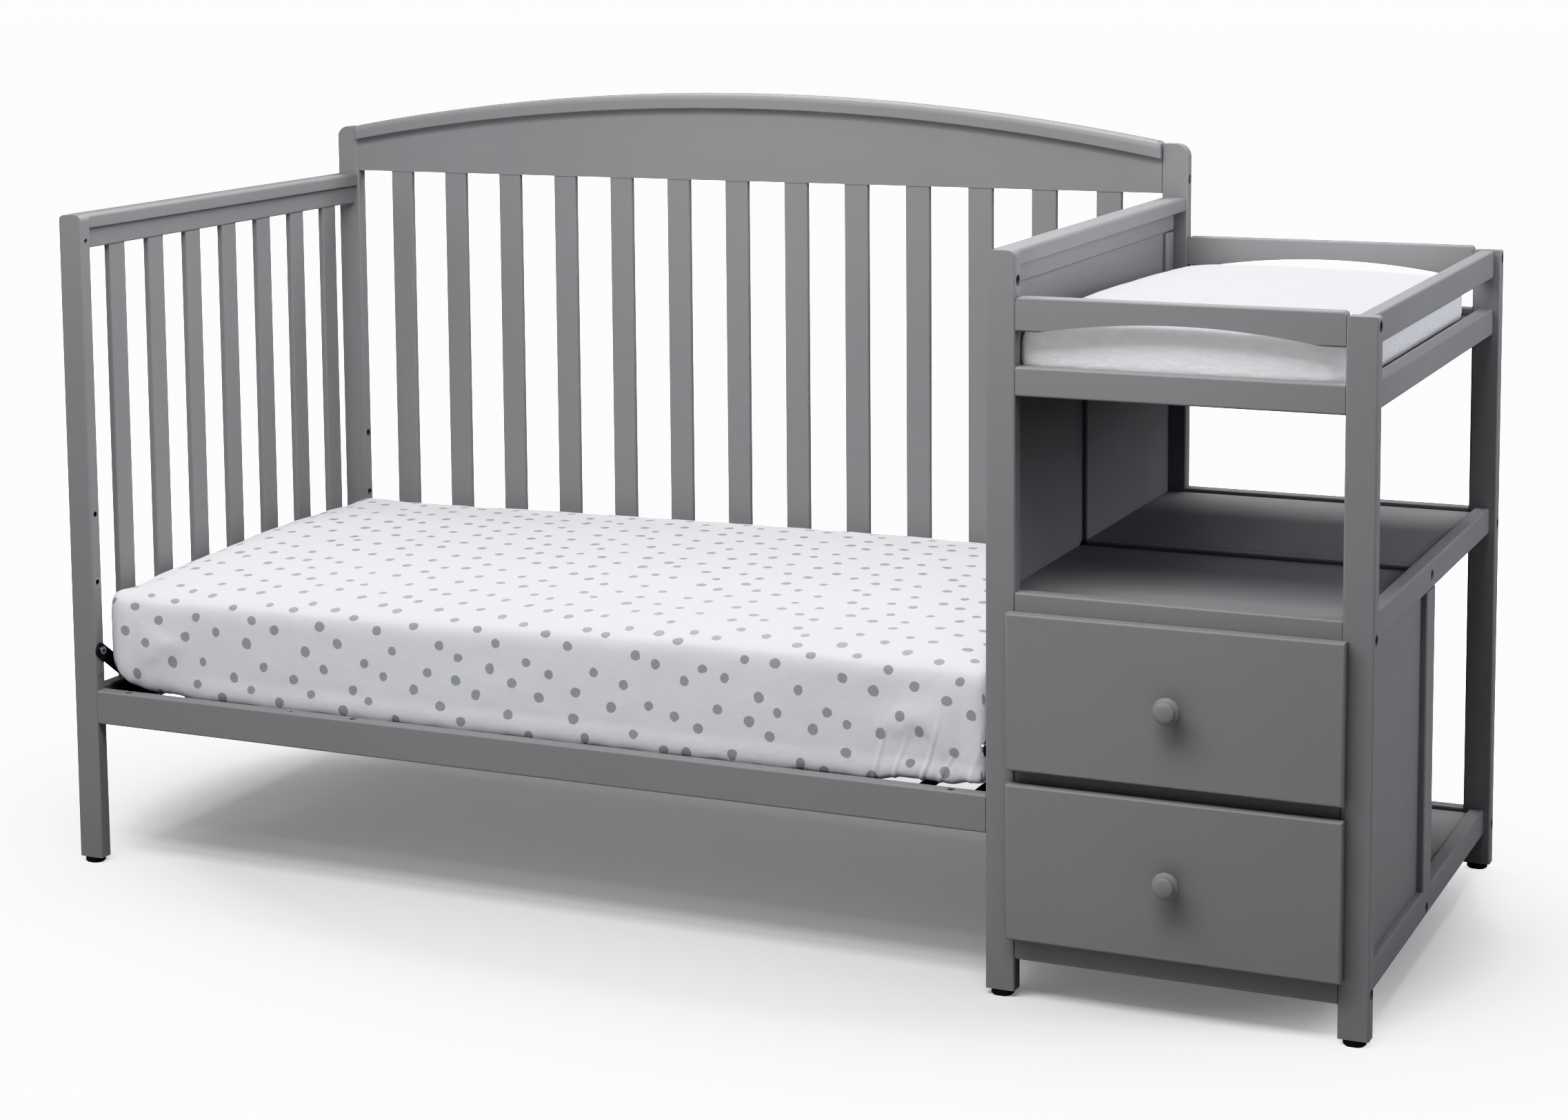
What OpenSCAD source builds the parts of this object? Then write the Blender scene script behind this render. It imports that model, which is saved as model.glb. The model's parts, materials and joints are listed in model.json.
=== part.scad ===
// Full-size crib in its day bed form, with a changing table built onto its right end.
// Millimetres. The origin is on the floor, under the middle of the whole object.
// Helper shapes use bench coordinates: x from the left post's outer face, y from the
// front posts' front face, z from the underside of the wooden posts.

/* [Crib] */
// Clear length between the crib's end posts
crib_len = 1330; // [1314:1:1346]
// Depth over the front and back posts
frame_d = 762; // [740:1:780]
// Height of the crib's front posts
crib_post_h = 920; // [905:1:940]
// Height of the two tall back posts
back_post_h = 995; // [980:1:1010]
// Crown height of the arched back
crown_h = 1057; // [1040:1:1070]
// Radius of the arch along its top
arch_r = 3715; // [3600:5:3900]
// Number of slats in the back
back_slat_count = 13; // [11:1:14]
// Number of slats in the left end
end_slat_count = 7; // [5:1:8]

/* [Changer] */
// Clear length between the changer's posts
changer_len = 400; // [380:1:420]
// Height of the changer's right posts
changer_post_h = 859; // [850:1:870]
// Height of the upper drawer slides' lower edge
upper_slide_z = 360; // [340:1:370]
// Height of the lower drawer slides' lower edge
lower_slide_z = 146; // [130:1:160]
// How far the drawers stand open
drawer_open = 0; // [0:1:250]

/* [Timber] */
// Width of a post, along the crib
post_w = 38; // [34:1:42]
// Thickness of a post, front to back
post_d = 22; // [22:1:26]
// Thickness of a rail
rail_t = 20; // [18:1:20]
// Radius of an eased edge
edge_r = 3; // [1:0.5:4]
// Thickness of a slat
slat_t = 10; // [9:1:14]

/* [Bedding] */
// Height of the mattress at its low left corner
mattress_h = 133; // [110:1:145]
// Height of the changing pad at its low left corner
pad_h = 62; // [50:1:66]

/* [Hidden] */

paint = "#828385";
raw_wood = "#c9ad86";
hardboard = "#94704c";
steel = "#a7a9ac";
black_steel = "#232427";
white_cloth = "#eeeef0";
black_plastic = "#1d1d1f";

// Overall places
glide_h = 8;
front_t = 16;
front_gap = 0.5;
knob_reach = 29;
total_l = 3 * post_w + crib_len + changer_len;
partition_x = post_w + crib_len;
opening_x = partition_x + post_w;
right_post_x = opening_x + changer_len;
back_y = frame_d - post_d;
mid_y = 367.5;
floor_y = (frame_d - front_t - front_gap - knob_reach) / 2;

// Rails stand 1 mm back from the posts' faces, and 10 mm back on the right end
rail_inset = 1;
side_inset = 10;
front_rail_y = rail_inset;
back_rail_y = back_y + rail_inset;
side_rail_x = right_post_x + post_w - side_inset - rail_t;
bolt_front_y = post_d / 2;
bolt_back_y = frame_d - post_d / 2;

// Crib heights
cap_w = 35;
cap_h = 20.5;
end_rail_h = 28.5;
cap_z = crib_post_h - cap_h;
end_rail_z = cap_z - end_rail_h;
low_rail_z = 196;
low_rail_h = 48;
end_rail_x = 9.5;
arch_z = 924;
arch_cap_h = 22;
cap_nose = 12;
cove_r = 11;
slat_set = 1;

// Changer heights
guard_z = 822;
guard_h = 42;
guard_arch_r = 980;
guard_flat = 27;
apron_z = 743;
apron_h = 36;
board_t = 12;
board_z = 756;
shelf_rail_z = 466;
front_shelf_z = 478;
rear_shelf_z = 484;
divider_z = 257;
base_rail_z = 41;
base_board_t = 10;
base_board_z = 61;
base_top_z = base_board_z + base_board_t;
cleat = 12;

// Partition layers, from the crib's side
panel_t = 5.5;
rear_board_t = 7;
partition_t = 18;
lower_face_x = partition_x + panel_t;
rear_face_x = lower_face_x + rear_board_t;
upper_face_x = partition_x + partition_t;
stile_y = 711;
rear_split_y = 365;
side_panel_x = side_rail_x + 6;
side_panel_t = 5;
side_stile_y = 346;
side_stile_w = 46;

// Drawers
front_w = 414;
front_h = 195;
upper_front_z = 284;
lower_front_z = 71;
slide_gap = 13;
slide_h = 26;
box_w = changer_len - 2 * slide_gap;
box_h = 140;
box_d = 330;
box_t = 12;
box_below_slide = 57;
bottom_t = 4;
bottom_rise = 10;
groove = 5;
front_x = opening_x + (changer_len - front_w) / 2;
box_x = opening_x + slide_gap;

// Fasteners
bolt_d = 6;
bolt_bore_d = 7;
bolt_head_d = 12;
bolt_head_h = 4;
head_bore_d = 14;
head_sink = 8;
nut_d = 10;
nut_len = 13;
nut_in = 48;
insert_d = 12;
insert_len = 14;
insert_levels = [301, 399, 496];
hang_z = insert_levels[0];
rail_hole_z = 883;

// Steel deck under the mattress
strap_t = 3;
strap_w = 20;
deck_z = 224;
deck_h = 20;
deck_side_h = 12;
deck_y = 40;
deck_flange = 38;
deck_wall = 2.5;
deck_bars = 8;
deck_bar_w = 20;
deck_bar_in = 103;
strap_foot_y = 95;
strap_foot_z = deck_z + 14;

// Each frame bolt: outer face x, y, z, and the way it goes in along x
crib_bolts = [
  [0, bolt_front_y, low_rail_z + low_rail_h / 2, 1],
  [opening_x, bolt_front_y, low_rail_z + low_rail_h / 2, -1],
  [0, bolt_back_y, arch_z + 20, 1],
  [0, bolt_back_y, low_rail_z + low_rail_h / 2, 1],
  [opening_x, bolt_back_y, arch_z + 20, -1],
  [opening_x, bolt_back_y, low_rail_z + low_rail_h / 2, -1]
];
changer_bolt_levels = [base_rail_z + 14, shelf_rail_z + 14, guard_z + 25];
changer_bolts = [
  for (z = changer_bolt_levels, y = [bolt_front_y, bolt_back_y], right = [0, 1])
    [right ? right_post_x + post_w : partition_x, y, z, right ? -1 : 1]
];
cross_bolts = [
  [side_rail_x + rail_t, mid_y, base_rail_z + 10, -1],
  [side_rail_x + rail_t, mid_y, shelf_rail_z + 19, -1]
];

// ---- Outlines ----

function arc(cx, cy, r, a0, a1, n) =
  [for (i = [0:n]) let (a = a0 + (a1 - a0) * i / n) [cx + r * cos(a), cy + r * sin(a)]];

// Rectangle from the origin with its own radius at each corner:
// low left, low right, high right, high left
function cornered(w, h, radii, n = 4) = concat(
  arc(radii[0], radii[0], radii[0], 180, 270, n),
  arc(w - radii[1], radii[1], radii[1], 270, 360, n),
  arc(w - radii[2], h - radii[2], radii[2], 0, 90, n),
  arc(radii[3], h - radii[3], radii[3], 90, 180, n)
);

function eased(w, h, r = edge_r) = cornered(w, h, [r, r, r, r]);

// Bar outline with two round ends
function capsule(p, q, r, n = 8) =
  let (a = atan2(q[1] - p[1], q[0] - p[0]))
  concat(arc(p[0], p[1], r, a + 90, a + 270, n), arc(q[0], q[1], r, a - 90, a + 90, n));

// ---- Extrusions ----

module bench() translate([-total_l / 2, -floor_y, glide_h]) children();

// A profile in (y, z) run along x
module run_x(x, y, z, len) translate([x, y, z]) rotate([90, 0, 90]) linear_extrude(len) children();

// A profile in (x, z) run along y
module run_y(x, y, z, len) translate([x, y + len, z]) rotate([90, 0, 0]) linear_extrude(len) children();

// A profile in (x, y) run up z
module run_z(x, y, z, len) translate([x, y, z]) linear_extrude(len) children();

module rail_x(x, y, z, len, h, t = rail_t) run_x(x, y, z, len) polygon(eased(t, h));
module rail_y(x, y, z, len, h, t = rail_t) run_y(x, y, z, len) polygon(eased(t, h));
module sheet(x, y, z, dx, dy, dz) translate([x, y, z]) cube([dx, dy, dz]);

// Post with eased edges and its own radius at each top corner
module post(x, y, h, left_r, right_r) intersection() {
  run_z(x, y, 0, h) polygon(eased(post_w, post_d));
  run_y(x, y, 0, post_d) polygon(cornered(post_w, h, [0.5, 0.5, right_r, left_r], 8));
}

// ---- Fasteners and their bores ----

module along_x(b) translate([b[0], b[1], b[2]]) rotate([0, 90 * b[3], 0]) children();

// Sunk head, clearance bore and the nut's cross bore, open at the rail's top or underside
module bolt_bore(b, wall = post_w, nut_mouth = -1) {
  along_x(b) {
    translate([0, 0, -1]) cylinder(d = head_bore_d, h = head_sink + 1, $fn = 32);
    cylinder(d = bolt_bore_d, h = wall + nut_in + 12, $fn = 32);
  }
  translate([b[0] + b[3] * (wall + nut_in), b[1], b[2] + nut_mouth * 30])
    cylinder(d = nut_d + 0.3, h = 60 + nut_len + 1, center = true, $fn = 32);
}

module bolt(reach) difference() {
  union() {
    cylinder(d = bolt_head_d, h = bolt_head_h, $fn = 32);
    translate([0, 0, bolt_head_h]) cylinder(d = bolt_d, h = reach, $fn = 24);
  }
  translate([0, 0, -1]) cylinder(d = 5, h = 3.5, $fn = 6);
}

module barrel_nut(rise) difference() {
  translate([0, 0, -nut_len / 2]) cylinder(d = nut_d, h = nut_len / 2 + rise, $fn = 32);
  rotate([0, 90, 0]) cylinder(d = bolt_d + 0.1, h = nut_d + 2, center = true, $fn = 24);
  translate([-nut_d, -0.8, rise - 1.5]) cube([2 * nut_d, 1.6, 3]);
  translate([0, 0, rise - 2]) cylinder(d = 4, h = 3, $fn = 24);
}

// The nut's slot faces the mouth of its bore, rise above the bolt's axis
module bolt_set(b, wall = post_w, nut_mouth = -1, rise = nut_len / 2) {
  along_x(b) translate([0, 0, head_sink - bolt_head_h]) bolt(wall + nut_in + 5 - head_sink);
  translate([b[0] + b[3] * (wall + nut_in), b[1], b[2]]) rotate([nut_mouth < 0 ? 180 : 0, 0, 0])
    barrel_nut(rise);
}

// Inner face, way into the post
crib_faces = [[post_w, -1], [partition_x, 1]];

module insert_bores(face, y)
  for (z = insert_levels)
    translate([face[0] - face[1], y, z]) rotate([0, 90 * face[1], 0])
      cylinder(d = insert_d, h = insert_len + 3, $fn = 32);

module threaded_insert() difference() {
  cylinder(d = insert_d, h = insert_len, $fn = 32);
  translate([0, 0, -1]) cylinder(d = bolt_d + 0.2, h = insert_len + 2, $fn = 24);
  translate([0, 0, -1]) cylinder(d = 8.4, h = 2.6, $fn = 6);
}

// Spare bolt hole for the front rail of the closed crib
module front_rail_hole(x, way) along_x([x, bolt_front_y, rail_hole_z, way]) {
  translate([0, 0, -1]) cylinder(d = head_bore_d, h = head_sink + 1, $fn = 32);
  cylinder(d = bolt_bore_d, h = post_w + 2, $fn = 32);
}

// ---- Crib: left end ----

module left_front_post() color(paint) bench() difference() {
  post(0, 0, crib_post_h, 10, 10);
  bolt_bore(crib_bolts[0]);
  insert_bores(crib_faces[0], bolt_front_y);
  front_rail_hole(0, 1);
}

module left_back_post() color(paint) bench() difference() {
  post(0, back_y, back_post_h, 20, edge_r);
  bolt_bore(crib_bolts[2]);
  bolt_bore(crib_bolts[3]);
  insert_bores(crib_faces[0], bolt_back_y);
}

module end_cap(x) run_y(x, post_d, cap_z, back_y - post_d)
  polygon(cornered(cap_w, cap_h, [2, 2, 6, 6]));

module left_cap_rail() color(paint) bench() end_cap(0);

module left_top_rail() color(paint) bench()
  rail_y(end_rail_x, post_d, end_rail_z, back_y - post_d, end_rail_h);

module left_bottom_rail() color(paint) bench()
  rail_y(end_rail_x, post_d, low_rail_z, back_y - post_d, low_rail_h);

module left_slats() color(paint) bench() {
  span = back_y - post_d;
  gap = (span - end_slat_count * post_w) / (end_slat_count + 1);
  bottom = low_rail_z + low_rail_h;
  x = end_rail_x + rail_t - slat_set - slat_t;
  for (i = [0:end_slat_count - 1])
    run_z(x, post_d + gap + i * (post_w + gap), bottom, end_rail_z - bottom)
      polygon(eased(slat_t, post_w, 2));
}

// ---- Crib: back ----

module right_back_post() color(paint) bench() difference() {
  post(partition_x, back_y, back_post_h, edge_r, 20);
  bolt_bore(crib_bolts[4]);
  bolt_bore(crib_bolts[5]);
  for (b = changer_bolts) if (b[0] == partition_x && b[1] > mid_y) bolt_bore(b);
  insert_bores(crib_faces[1], bolt_back_y);
}

crib_mid_x = post_w + crib_len / 2;
arch_centre_z = crown_h - arch_r;
arch_half_angle = asin(crib_len / 2 / arch_r) + 0.6;

// A profile in (height along the radius, y), swept along the arch
module arch_sweep() translate([crib_mid_x, 0, arch_centre_z])
  rotate([90, 0, 0]) rotate([0, 0, 90 - arch_half_angle])
    rotate_extrude(angle = 2 * arch_half_angle, $fn = 720) children();

// Space between the tall posts, with the moulding's round end corners
module between_tall_posts() {
  end_z = arch_centre_z + sqrt(arch_r * arch_r - pow(crib_len / 2, 2));
  intersection() {
    run_z(post_w, back_rail_y - cap_nose, 900, 200)
      polygon(cornered(crib_len, cap_nose + rail_t, [3, 3, 0.5, 0.5]));
    run_y(post_w, back_y - 30, 900, 80)
      polygon(concat(
        [[0, 0], [crib_len, 0]],
        arc(crib_len - 6, end_z - 900 - 6, 6, 0, 80, 5),
        [[crib_len - 40, 200], [40, 200]],
        arc(6, end_z - 900 - 6, 6, 100, 180, 5)
      ));
  }
}

// Cap with a round nose, and a cove under it that dies into the rail's face
module cap_profile() {
  face = -back_rail_y;
  top = arch_r;
  polygon(concat(
    [[top, face - rail_t]],
    [[top - arch_cap_h, face - rail_t], [top - arch_cap_h, face], [top - arch_cap_h - cove_r, face]],
    arc(top - arch_cap_h - cove_r, face + cove_r, cove_r, 270, 360, 6),
    arc(top - arch_cap_h + 0.8, face + cap_nose - 0.8, 0.8, 180, 90, 2),
    arc(top - 10, face + cap_nose - 10, 10, 90, 0, 8)
  ));
}

module back_arch_cap() color(paint) bench() intersection() {
  arch_sweep() cap_profile();
  between_tall_posts();
}

// Wide rail: straight below, arched where the cap sits on it
module back_top_rail() color(paint) bench() difference() {
  intersection() {
    sheet(post_w, back_rail_y, arch_z, crib_len, rail_t, crown_h - arch_z);
    translate([crib_mid_x, back_y + 50, arch_centre_z]) rotate([90, 0, 0])
      cylinder(r = arch_r - arch_cap_h, h = 100, $fn = 720);
  }
  bolt_bore(crib_bolts[2]);
  bolt_bore(crib_bolts[4]);
}

module back_slats() color(paint) bench() {
  gap = (crib_len - back_slat_count * post_w) / (back_slat_count + 1);
  bottom = low_rail_z + low_rail_h;
  for (i = [0:back_slat_count - 1])
    run_z(post_w + gap + i * (post_w + gap), back_rail_y + slat_set, bottom, arch_z - bottom)
      polygon(eased(post_w, slat_t, 2));
}

module back_bottom_rail() color(paint) bench() difference() {
  rail_x(post_w, back_rail_y, low_rail_z, crib_len, low_rail_h);
  bolt_bore(crib_bolts[3]);
  bolt_bore(crib_bolts[5]);
}

// ---- Crib: front and inside ----

module front_low_rail() color(paint) bench() difference() {
  rail_x(post_w, front_rail_y, low_rail_z, crib_len, low_rail_h);
  bolt_bore(crib_bolts[0], nut_mouth = 1);
  bolt_bore(crib_bolts[1], nut_mouth = 1);
  for (hole = [[355, 5], [454, nut_d]])
    translate([hole[0], bolt_front_y, low_rail_z + low_rail_h - 20]) cylinder(d = hole[1], h = 21, $fn = 32);
}

// Welded frame: angle bars round the edge, low at the front and back, flat bars across and
// two along
module support_deck() color(black_steel) bench() {
  x0 = post_w + strap_t;
  len = crib_len - 2 * strap_t;
  depth = frame_d - 2 * deck_y;
  bar_pitch = (len - 2 * deck_bar_in) / (deck_bars - 1);
  difference() {
    sheet(x0, deck_y, deck_z, len, depth, deck_h);
    sheet(x0 + deck_wall, deck_y + deck_wall, deck_z + deck_wall,
      len - 2 * deck_wall, depth - 2 * deck_wall, deck_h);
    sheet(x0 + deck_wall, deck_y - 1, deck_z + deck_side_h, len - 2 * deck_wall, depth + 2, deck_h);
    sheet(x0 + deck_flange, deck_y + 25, deck_z - 1, len - 2 * deck_flange, depth - 50, deck_h);
    for (x = [x0, x0 + len], y = [strap_foot_y, frame_d - strap_foot_y])
      translate([x, y, strap_foot_z]) rotate([0, 90, 0])
        cylinder(d = bolt_bore_d, h = 12, center = true, $fn = 32);
  }
  for (i = [0:deck_bars - 1])
    sheet(x0 + deck_bar_in + i * bar_pitch - deck_bar_w / 2, deck_y + 1, deck_z,
      deck_bar_w, depth - 2, deck_wall);
  for (i = [0:deck_bars - 1], y = [0.3, 0.7])
    sheet(x0 + deck_bar_in + i * bar_pitch - 5, deck_y + depth * y - 10, deck_z + 2, 10, 20, deck_h - 2);
  for (y = [0.3, 0.7])
    sheet(x0 + 1, deck_y + depth * y - 10, deck_z + deck_h - deck_wall, len - 2, 20, deck_wall);
}

// Flat strap from a post's lowest insert down to the deck
strap_foot = [strap_foot_y - bolt_front_y, strap_foot_z - hang_z];

module hanger_strap() difference() {
  rotate([90, 0, 90]) linear_extrude(strap_t) polygon(capsule([0, 0], strap_foot, strap_w / 2));
  for (p = [[0, 0], strap_foot])
    translate([-1, p[0], p[1]]) rotate([0, 90, 0]) cylinder(d = bolt_d + 0.6, h = strap_t + 2, $fn = 32);
}

// The four places where a strap is bolted to a post
module at_hangers()
  for (side = [0, 1], rear = [0, 1])
    translate([side ? partition_x : post_w, rear ? bolt_back_y : bolt_front_y, hang_z])
      mirror([side, 0, 0]) mirror([0, rear, 0]) children();

module hanger_straps() color(black_steel) bench() at_hangers() hanger_strap();

// ---- Bedding ----

// Ring of points round the box [x0, x1, y0, y1], with a radius at each corner: low left,
// low right, high right, high left. Each point carries the way it faces.
function ring(box, radii, cuts) =
  let (
    corners = [[box[0], box[2], 1, 1], [box[1], box[2], -1, 1],
      [box[1], box[3], -1, -1], [box[0], box[3], 1, -1]],
    arcs = [for (k = [0:3]) let (c = corners[k], r = radii[k])
      [for (i = [0:4]) let (a = 180 + 90 * k + 22.5 * i)
        [c[0] + c[2] * r + r * cos(a), c[1] + c[3] * r + r * sin(a), cos(a), sin(a)]]]
  )
  [for (k = [0:3]) let (last = arcs[k][4], next = arcs[(k + 1) % 4][0], n = cuts[k % 2])
    each concat(arcs[k], [for (i = [1:n - 1]) last + (next - last) * i / n])];

// Skins a stack of rings of equal length with triangles and closes both ends
module skin(rings, middle, top_z) {
  n = len(rings[0]);
  m = len(rings);
  points = concat([for (r = rings, p = r) p],
    [[middle[0], middle[1], rings[0][0][2]], [middle[0], middle[1], top_z]]);
  sides = [for (j = [0:m - 2], i = [0:n - 1])
    let (a = j * n + i, b = j * n + (i + 1) % n, c = a + n, d = b + n)
    each [[a, c, b], [b, c, d]]];
  low = [for (i = [0:n - 1]) [i, (i + 1) % n, m * n]];
  high = [for (i = [0:n - 1]) [(m - 1) * n + (i + 1) % n, (m - 1) * n + i, m * n + 1]];
  polyhedron(points, concat(sides, low, high));
}

// Top of a cushion at the fractions (s, t) of its length and depth: four corner heights, then
// the swell along x and its skew, and the swell along y and its skew
function swell(top, s, t) =
  (1 - t) * ((1 - s) * top[0] + s * top[1]) + t * ((1 - s) * top[3] + s * top[2])
  + top[4] * sin(180 * pow(s, top[5])) + top[6] * sin(180 * pow(t, top[7]));

// The box of a cushion drawn in by k of its rounding [reach, height] on each side: left,
// right, front, back
function drawn_in(l, d, sides, k) =
  [sides[0][0] * k, l - sides[1][0] * k, sides[2][0] * k, d - sides[3][0] * k];

// Height of the rounding on the side that a ring's point faces
function round_h(sides, p) =
  pow(p[2], 2) * sides[p[2] < 0 ? 0 : 1][1] + pow(p[3], 2) * sides[p[3] < 0 ? 2 : 3][1];

// Cushion with its own rounding at each side's foot and shoulder, and a swollen top
module cushion(l, d, radii, cuts, foot, shoulder, top) {
  steps = [0:18:90];
  m = min(l, d) / 2 - 6;
  brow = drawn_in(l, d, shoulder, 1);
  lower = [for (a = steps)
    [for (p = ring(drawn_in(l, d, foot, 1 - sin(a)), radii, cuts))
      [p[0], p[1], round_h(foot, p) * (1 - cos(a))]]];
  side = [for (f = [0.33, 0.67])
    [for (p = ring([0, l, 0, d], radii, cuts))
      let (z0 = round_h(foot, p), z1 = swell(top, p[0] / l, p[1] / d) - round_h(shoulder, p))
      [p[0], p[1], z0 + (z1 - z0) * f]]];
  upper = [for (a = steps)
    let (k = 1 - cos(a), box = drawn_in(l, d, shoulder, k), r = [for (r = radii) max(r - 14 * k, 5)])
    [for (p = ring(box, r, cuts))
      [p[0], p[1], swell(top, p[0] / l, p[1] / d) - round_h(shoulder, p) * (1 - sin(a))]]];
  crown = [for (f = [0.25:0.25:1])
    let (box = brow + ([m, l - m, m, d - m] - brow) * f, r = [for (r = radii) max(r - 14 - m * f, 5)])
    [for (p = ring(box, r, cuts)) [p[0], p[1], swell(top, p[0] / l, p[1] / d)]]];
  skin(concat(lower, side, upper, crown), [l / 2, d / 2], swell(top, 0.5, 0.5));
}

mattress_gap = 0.5;
mattress_y = 26;
mattress_d = 700;

module mattress() color(white_cloth) bench()
  translate([post_w + strap_t + mattress_gap, mattress_y, deck_z + deck_h])
    cushion(
      l = crib_len - 2 * (strap_t + mattress_gap),
      d = mattress_d,
      radii = [22, 26, 26, 22],
      cuts = [12, 6],
      foot = [[62, 55], [70, 36], [12, 10], [12, 10]],
      shoulder = [[16, 16], [20, 20], [16, 16], [16, 16]],
      top = [mattress_h, mattress_h + 9, mattress_h + 27, mattress_h + 20, 5.5, 1.6, 14, 1]
    );

module changing_pad() color(white_cloth) bench()
  translate([upper_face_x + 8, post_d + 1, board_z + board_t])
    cushion(
      l = changer_len + 14,
      d = frame_d - 50,
      radii = [22, 30, 50, 50],
      cuts = [5, 8],
      foot = [[8, 12], [8, 12], [8, 12], [8, 12]],
      shoulder = [[34, 33], [24, 20], [24, 22], [26, 24]],
      top = [pad_h, pad_h - 5, pad_h - 10, pad_h - 5, 5, 1, 10.5, 0.7]
    );

// ---- Partition between crib and changer ----

module partition_front_post() color(paint) bench() difference() {
  post(partition_x, 0, crib_post_h, 10, 10);
  bolt_bore(crib_bolts[1]);
  for (b = changer_bolts) if (b[0] == partition_x && b[1] < mid_y) bolt_bore(b);
  insert_bores(crib_faces[1], bolt_front_y);
  front_rail_hole(opening_x, -1);
}

module partition_cap_rail() color(paint) bench() end_cap(partition_x);

module partition_top_rail() color(paint) bench()
  run_y(partition_x, post_d, end_rail_z, back_y - post_d)
    polygon(cornered(partition_t, end_rail_h, [1, 5, 1, 1]));

module partition_upper_panel() color(paint) bench()
  sheet(partition_x + 1, post_d, board_z + board_t, 10, stile_y - post_d, end_rail_z - board_z - board_t);

module partition_stile() color(paint) bench()
  run_z(partition_x, stile_y, board_z + board_t, end_rail_z - board_z - board_t)
    polygon(cornered(partition_t, back_y - stile_y, [1, 5, 1, 1]));

module partition_mid_rail() color(paint) bench()
  sheet(partition_x, post_d, apron_z, partition_t, back_y - post_d, board_z + board_t - apron_z);

module partition_lower_panel() color(paint) bench()
  sheet(partition_x, post_d, base_rail_z, panel_t, back_y - post_d, apron_z - base_rail_z);

module partition_rear_board() color(paint) bench()
  run_z(lower_face_x, rear_split_y, base_top_z, apron_z - base_top_z)
    polygon(cornered(rear_board_t, back_y - rear_split_y, [0.5, 3, 0.5, 0.5]));

// ---- Changer: posts, guards and aprons ----

module changer_front_post() color(paint) bench() difference() {
  post(right_post_x, 0, changer_post_h, 4, 4);
  for (b = changer_bolts) if (b[0] > right_post_x && b[1] < mid_y) bolt_bore(b);
}

module changer_back_post() color(paint) bench() difference() {
  post(right_post_x, back_y, changer_post_h, 4, 4);
  for (b = changer_bolts) if (b[0] > right_post_x && b[1] > mid_y) bolt_bore(b);
}

// Guard board whose lower edge rises in a shallow arch between two flats
module guard(y) {
  half = changer_len / 2 - guard_flat;
  drop = sqrt(guard_arch_r * guard_arch_r - half * half);
  sweep = asin(half / guard_arch_r);
  difference() {
    intersection() {
      rail_x(opening_x, y, guard_z, changer_len, guard_h);
      run_y(opening_x, y, guard_z, rail_t) polygon(cornered(changer_len, guard_h, [1, 1, 6, 6], 5));
    }
    run_y(opening_x + changer_len / 2, y - 1, guard_z, rail_t + 2)
      polygon(concat([[half, -5], [-half, -5]], arc(0, -drop, guard_arch_r, 90 + sweep, 90 - sweep, 32)));
    for (b = changer_bolts) if (b[2] > guard_z && abs(b[1] - y - rail_t / 2) < 2) bolt_bore(b);
  }
}

module front_guard() color(paint) bench() guard(front_rail_y);
module back_guard() color(paint) bench() guard(back_rail_y);

module side_guard() color(paint) bench()
  rail_y(side_rail_x, post_d, guard_z - 1, back_y - post_d, 37.5);

module front_apron() color(paint) bench() rail_x(opening_x, front_rail_y, apron_z, changer_len, apron_h);
module back_apron() color(paint) bench() rail_x(opening_x, back_rail_y, apron_z, changer_len, apron_h);
module side_apron() color(paint) bench() rail_y(side_rail_x, post_d, apron_z, back_y - post_d, apron_h);

module changing_board() color(paint) bench()
  sheet(upper_face_x, post_d, board_z, side_rail_x - upper_face_x, back_y - post_d, board_t);

// ---- Changer: shelf, base and carcass ----

// Rail between a pair of changer posts, with its bolt bores
module bolted_rail(y, z) difference() {
  rail_x(opening_x, y, z, changer_len, apron_h);
  for (b = changer_bolts)
    if (b[2] > z && b[2] < z + apron_h && abs(b[1] - y - rail_t / 2) < 2) bolt_bore(b);
}

module shelf_front_rail() color(paint) bench() bolted_rail(front_rail_y, shelf_rail_z);
module shelf_back_rail() color(paint) bench() bolted_rail(back_rail_y, shelf_rail_z);
module base_front_rail() color(paint) bench() bolted_rail(front_rail_y, base_rail_z);
module base_back_rail() color(paint) bench() bolted_rail(back_rail_y, base_rail_z);

module drawer_divider_rail() color(paint) bench()
  rail_x(opening_x, front_rail_y, divider_z, changer_len, apron_h);

module shelf_side_rail() color(paint) bench() difference() {
  rail_y(side_rail_x, post_d, shelf_rail_z + 1, back_y - post_d, apron_h);
  bolt_bore(cross_bolts[1], wall = rail_t);
}

module base_side_rail() color(paint) bench() difference() {
  rail_y(side_rail_x, post_d, base_rail_z, back_y - post_d, apron_h);
  bolt_bore(cross_bolts[0], wall = rail_t);
}

// Mid-depth rails under the shelf boards and under the base board
module cross_rails() color(paint) bench() difference() {
  union() {
    run_x(rear_face_x, mid_y - rail_t / 2, rear_shelf_z + board_t - apron_h, side_rail_x - rear_face_x)
      polygon(cornered(rail_t, apron_h, [1, 1, 1, 3]));
    sheet(lower_face_x, mid_y - rail_t / 2, base_rail_z,
      side_rail_x - lower_face_x, rail_t, base_board_z - base_rail_z);
  }
  for (b = cross_bolts) bolt_bore(b, wall = rail_t);
}

module shelf_boards() color(paint) bench() {
  sheet(lower_face_x, post_d, front_shelf_z,
    side_rail_x - lower_face_x, mid_y - rail_t / 2 - post_d, board_t);
  sheet(rear_face_x, mid_y + rail_t / 2, rear_shelf_z,
    side_rail_x - rear_face_x, back_y - mid_y - rail_t / 2, board_t);
}

module base_board() color(paint) bench()
  sheet(lower_face_x, post_d, base_board_z, side_rail_x - lower_face_x, back_y - post_d, base_board_t);

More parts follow.
